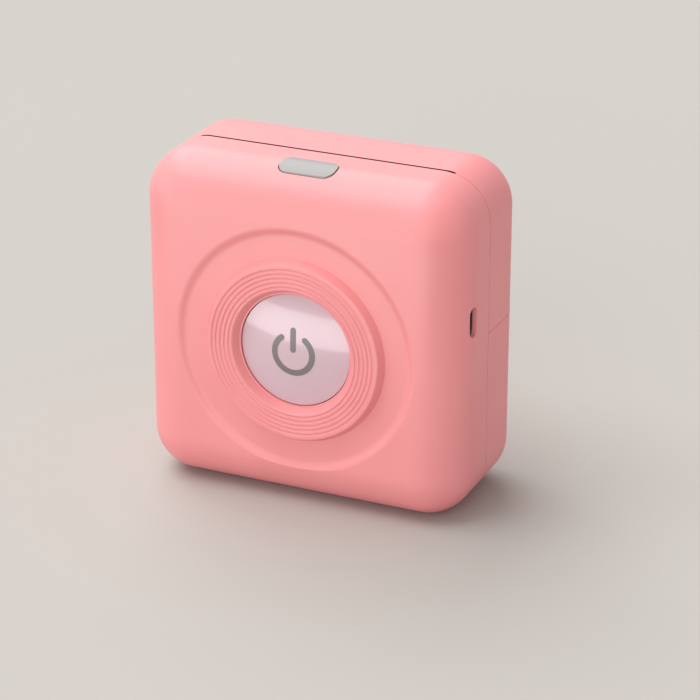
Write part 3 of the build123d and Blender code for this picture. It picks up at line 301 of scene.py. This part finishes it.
# Plastics: light and dark colour, roughness, then depth of grain and coat where not the usual
for name, *look in (
    ("button_grey", (0.328, 0.324, 0.315), (0.304, 0.300, 0.292), 0.38),
    ("dome_white", (0.690, 0.500, 0.560), (0.670, 0.480, 0.540), 0.16, 0.000004, 0.5),
    ("inner_white", (0.74, 0.73, 0.71), (0.68, 0.67, 0.65), 0.48),
    ("black_plastic", (0.030, 0.030, 0.032), (0.018, 0.018, 0.020), 0.45),
    ("gear_white", (0.80, 0.78, 0.72), (0.74, 0.72, 0.66), 0.36),
    ("roller_rubber", (0.040, 0.040, 0.042), (0.022, 0.022, 0.024), 0.70, 0.00006),
    ("lead_red", (0.52, 0.035, 0.028), (0.42, 0.025, 0.022), 0.38),
):
    materials[name] = moulded(name + "_look", *look)

# Metals: light and dark colour, roughness, then grain where not the usual
for name, *look in (
    ("steel", (0.62, 0.62, 0.63), (0.48, 0.48, 0.50), 0.30),
    ("spring_steel", (0.60, 0.60, 0.61), (0.46, 0.46, 0.48), 0.22),
    ("screw_steel", (0.20, 0.20, 0.21), (0.12, 0.12, 0.13), 0.38),
    ("motor_can", (0.56, 0.56, 0.55), (0.44, 0.44, 0.44), 0.34, TURNED_GRAIN),
    ("brass", (0.78, 0.58, 0.26), (0.62, 0.44, 0.18), 0.28),
    ("aluminium", (0.78, 0.78, 0.79), (0.66, 0.66, 0.68), 0.36),
):
    materials[name] = brushed(name + "_look", *look)

for node in nodes.values():
    for slot in node.material_slots:
        slot.material = materials[slot.material.name.split(".")[0]]
# The tear bar: dark steel, darkened further and tinted red as painted shade of the slot round it
dark_steel_with_painted_shade = brushed("blackened_look", (0.085, 0.055, 0.055), (0.05, 0.03, 0.03), 0.45)
nodes["tear_bar"].material_slots[0].material = dark_steel_with_painted_shade


def add_piece(name, bm, material):
    """An object in the scene from a finished bmesh."""
    bmesh.ops.recalc_face_normals(bm, faces=bm.faces)
    mesh = bpy.data.meshes.new(name)
    bm.to_mesh(mesh)
    bm.free()
    mesh.materials.append(material)
    piece = bpy.data.objects.new(name, mesh)
    scene.collection.objects.link(piece)
    return piece


# Power symbol

def strip_rows(path, half_width):
    """Rows of (x, z) points across a stroke that follows a path, with round ends."""
    half_columns, cap_rows = 3, 6
    cap_turn = radians(88.0)
    rows = []

    def row(centre, heading, half):
        across = Vector((-heading.y, heading.x))
        columns = range(-half_columns, half_columns + 1)
        return [centre + across * (half * k / half_columns) for k in columns]

    def cap_row(end, outward, heading, k):
        angle = cap_turn * k / cap_rows
        return row(end + outward * (half_width * sin(angle)), heading, half_width * cos(angle))

    first_heading = (path[1] - path[0]).normalized()
    last_heading = (path[-1] - path[-2]).normalized()
    for k in range(cap_rows, 0, -1):
        rows.append(cap_row(path[0], -first_heading, first_heading, k))
    for i, point in enumerate(path):
        before, after = path[max(i - 1, 0)], path[min(i + 1, len(path) - 1)]
        rows.append(row(point, (after - before).normalized(), half_width))
    for k in range(1, cap_rows + 1):
        rows.append(cap_row(path[-1], last_heading, last_heading, k))
    return rows


def power_symbol():
    """A printed film on the dome: a bar in a broken ring, following the dome's curve."""
    low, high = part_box("power_button")
    apex_y = low.y
    dome_radius = 0.0856
    film = 0.00006
    sunk = film * 3
    half_stroke = 0.00095
    ring_radius, opening, arc_steps = 0.0062, radians(38.0), 72
    bar_foot, bar_length, bar_steps = 0.0014, 0.0062, 10
    centre_z = (low.z + high.z) / 2 - 0.0006
    arc = []
    for k in range(arc_steps + 1):
        angle = pi / 2 + opening + (2 * pi - 2 * opening) * k / arc_steps
        arc.append(Vector((ring_radius * cos(angle), ring_radius * sin(angle))))
    bar = [Vector((0.0, bar_foot + bar_length * k / bar_steps)) for k in range(bar_steps + 1)]
    bm = bmesh.new()
    for path in (arc, bar):
        rows = strip_rows(path, half_stroke)
        grid = [[bm.verts.new((p.x, 0.0, p.y)) for p in row] for row in rows]
        for first, second in zip(grid, grid[1:]):
            for k in range(len(first) - 1):
                bm.faces.new((first[k], first[k + 1], second[k + 1], second[k]))
    bmesh.ops.recalc_face_normals(bm, faces=bm.faces)
    for vert in bm.verts:
        spread = vert.co.x ** 2 + vert.co.z ** 2
        vert.co.y = apex_y + dome_radius - sqrt(dome_radius ** 2 - spread) - film
        vert.co.z += centre_z
    rim = [e for e in bm.edges if e.is_boundary]
    for item in bmesh.ops.extrude_edge_only(bm, edges=rim)["geom"]:
        if isinstance(item, bmesh.types.BMVert):
            item.co.y += sunk
    ink = moulded("symbol_ink", (0.215, 0.188, 0.182), (0.190, 0.165, 0.160), 0.36, 0.000003)
    piece = add_piece("power_symbol", bm, ink)
    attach(piece, "power_key")


power_symbol()


# Springs

def add_coil(bm, foot, axis, radius, height):
    """An open coil spring standing on its foot along an axis, with closed wire ends."""
    wire = 0.00025
    turns, turn_steps, wire_sides = 5, 40, 12
    upright = Vector(axis).to_track_quat("Z", "Y")
    steps = turns * turn_steps
    rise = (height - 2 * wire) / steps
    slope = rise * turn_steps / (2 * pi)
    rings = []
    for i in range(steps + 1):
        angle = 2 * pi * turns * i / steps
        outward = Vector((cos(angle), sin(angle), 0.0))
        ahead = Vector((-radius * sin(angle), radius * cos(angle), slope)).normalized()
        upward = outward.cross(ahead)
        centre = outward * radius + Vector((0.0, 0.0, wire + rise * i))
        ring = []
        for k in range(wire_sides):
            side_angle = 2 * pi * k / wire_sides
            side = outward * cos(side_angle) + upward * sin(side_angle)
            ring.append(bm.verts.new(foot + upright @ (centre + side * wire)))
        rings.append(ring)
    for first, second in zip(rings, rings[1:]):
        for k in range(wire_sides):
            bm.faces.new((first[k], first[k - 1], second[k - 1], second[k]))
    bm.faces.new(rings[0])
    bm.faces.new(reversed(rings[-1]))


def springs(node, axis, feet, radius, height):
    """Coils in place of a CAD spring node."""
    bm = bmesh.new()
    for foot in feet:
        add_coil(bm, foot, axis, radius, height)
    piece = add_piece(node + "_coils", bm, materials["spring_steel"])
    piece.data.shade_smooth()
    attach(piece, "printer_body")
    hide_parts(node)
    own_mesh(piece)


low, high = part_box("release_spring")
foot = Vector(((low.x + high.x) / 2, (low.y + high.y) / 2, low.z))
springs(
    "release_spring", (0, 0, 1), [foot],
    radius=0.002, height=high.z - low.z,
)

low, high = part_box("head_springs")
inset = 0.00215
feet = [Vector((x, low.y, (low.z + high.z) / 2)) for x in (low.x + inset, high.x - inset)]
springs(
    "head_springs", (0, 1, 0), feet,
    radius=0.0019, height=high.y - low.y,
)


# Lips inside the side walls, which close the seam to light

def seam_lips():
    """A thin round-ended strip on the inside of each side wall, fixed to the front shell."""
    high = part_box("front_shell")[1]
    wall, gap, thickness, half_width = 0.0020, 0.00005, 0.0002, 0.0010
    middle_y, bottom, top = -0.0002, 0.0165, 0.0905
    end_steps = 12
    outline = []
    for end_z, start in ((top, 0.0), (bottom, pi)):
        for k in range(end_steps + 1):
            angle = start + pi * k / end_steps
            outline.append((middle_y + half_width * cos(angle), end_z + half_width * sin(angle)))
    bm = bmesh.new()
    for side in (-1, 1):
        outer = side * (high.x - wall - gap)
        inner = outer - side * thickness
        rings = [[bm.verts.new((x, y, z)) for y, z in outline] for x in (outer, inner)]
        for k in range(len(outline)):
            bm.faces.new((rings[0][k - 1], rings[0][k], rings[1][k], rings[1][k - 1]))
        bm.faces.new(rings[0])
        bm.faces.new(reversed(rings[1]))
    piece = add_piece("seam_lips", bm, materials["case_plastic"])
    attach(piece, "printer_body")


seam_lips()


# Camera, fitted to the photograph
camera_data = bpy.data.cameras.new("camera")
camera = bpy.data.objects.new("camera", camera_data)
scene.collection.objects.link(camera)
camera.location = (0.323662, -0.708760, 0.380895)
target = Vector((0.006251, 0.003651, 0.041986))
camera.rotation_euler = (target - camera.location).to_track_quat("-Z", "Y").to_euler()
camera_data.sensor_width = 36.0
camera_data.lens = 140.92
camera_data.clip_start = 0.01
scene.camera = camera

# Floor, just under the base
reach, under_base = 6, 0.0001
corners = [(-reach, -reach, 0), (reach, -reach, 0), (reach, reach, 0), (-reach, reach, 0)]
floor_mesh = bpy.data.meshes.new("floor")
floor_mesh.from_pydata(corners, [], [(0, 1, 2, 3)])
floor = bpy.data.objects.new("floor", floor_mesh)
scene.collection.objects.link(floor)
floor.location.z = -under_base
floor_material, tree, shader, place = new_material("floor_look")
cloudy = ramp(tree, noise(tree, place, scale=3.0), (0.490, 0.468, 0.438), (0.497, 0.475, 0.445))
tree.links.new(cloudy, shader.inputs["Base Color"])
shader.inputs["Roughness"].default_value = 0.9
shader.inputs["Specular IOR Level"].default_value = 0.1
floor_mesh.materials.append(floor_material)

# Even light from all round. The camera and reflections see the photograph's plain grey.
world = bpy.data.worlds.new("studio")
scene.world = world
world.use_nodes = True
tree = world.node_tree
background = tree.nodes["Background"]
background.inputs["Color"].default_value = (*WORLD_GREY, 1.0)
background.inputs["Strength"].default_value = 0.61
seen = tree.nodes.new("ShaderNodeBackground")
seen.inputs["Color"].default_value = (*BACKDROP_GREY, 1.0)
rays = tree.nodes.new("ShaderNodeLightPath").outputs
shown = rays["Is Camera Ray"]
for ray in ("Is Glossy Ray", "Is Transmission Ray"):
    shown = math_node(tree, "MAXIMUM", shown, rays[ray])
either = tree.nodes.new("ShaderNodeMixShader")
tree.links.new(shown, either.inputs[0])
tree.links.new(background.outputs[0], either.inputs[1])
tree.links.new(seen.outputs[0], either.inputs[2])
tree.links.new(either.outputs[0], tree.nodes["World Output"].inputs["Surface"])


# Lights, their strengths fitted to the photograph

def lamp(name, kind, energy, place, aim=(0.0, 0.0, 0.0)):
    """A light at a place, turned to its aim."""
    data = bpy.data.lights.new(name, kind)
    data.energy = energy
    lamp_object = bpy.data.objects.new(name, data)
    scene.collection.objects.link(lamp_object)
    lamp_object.location = place
    turn = (Vector(aim) - Vector(place)).to_track_quat("-Z", "Y")
    lamp_object.rotation_euler = turn.to_euler()
    return lamp_object


for name, energy, place in (
    ("overhead", 1.73, (-0.39, -0.18, 0.91)),
    ("back_left", 1.38, (-0.50, 0.50, 0.70)),
    ("front", 0.85, (0.00, -0.95, 0.30)),
    ("low_left", 0.66, (-0.80, -0.60, 0.05)),
):
    lamp(name, "SUN", energy, place).data.angle = radians(45.0)

fill = lamp("fill", "SUN", 0.20, (0.85, -0.40, 0.12))
fill.data.angle = radians(60.0)
fill.data.color = (1.0, 0.62, 0.58)

# A white card on the table, facing up, seen only as a reflection in the face and the dome
card = lamp("card", "AREA", 2.0, (-0.16, -0.34, 0.002), (-0.16, -0.34, 1.0))
card.data.shape = "RECTANGLE"
card.data.size = 0.50
card.data.size_y = 0.36
card.visible_camera = False
card.visible_diffuse = False

scene.view_settings.view_transform = "Standard"
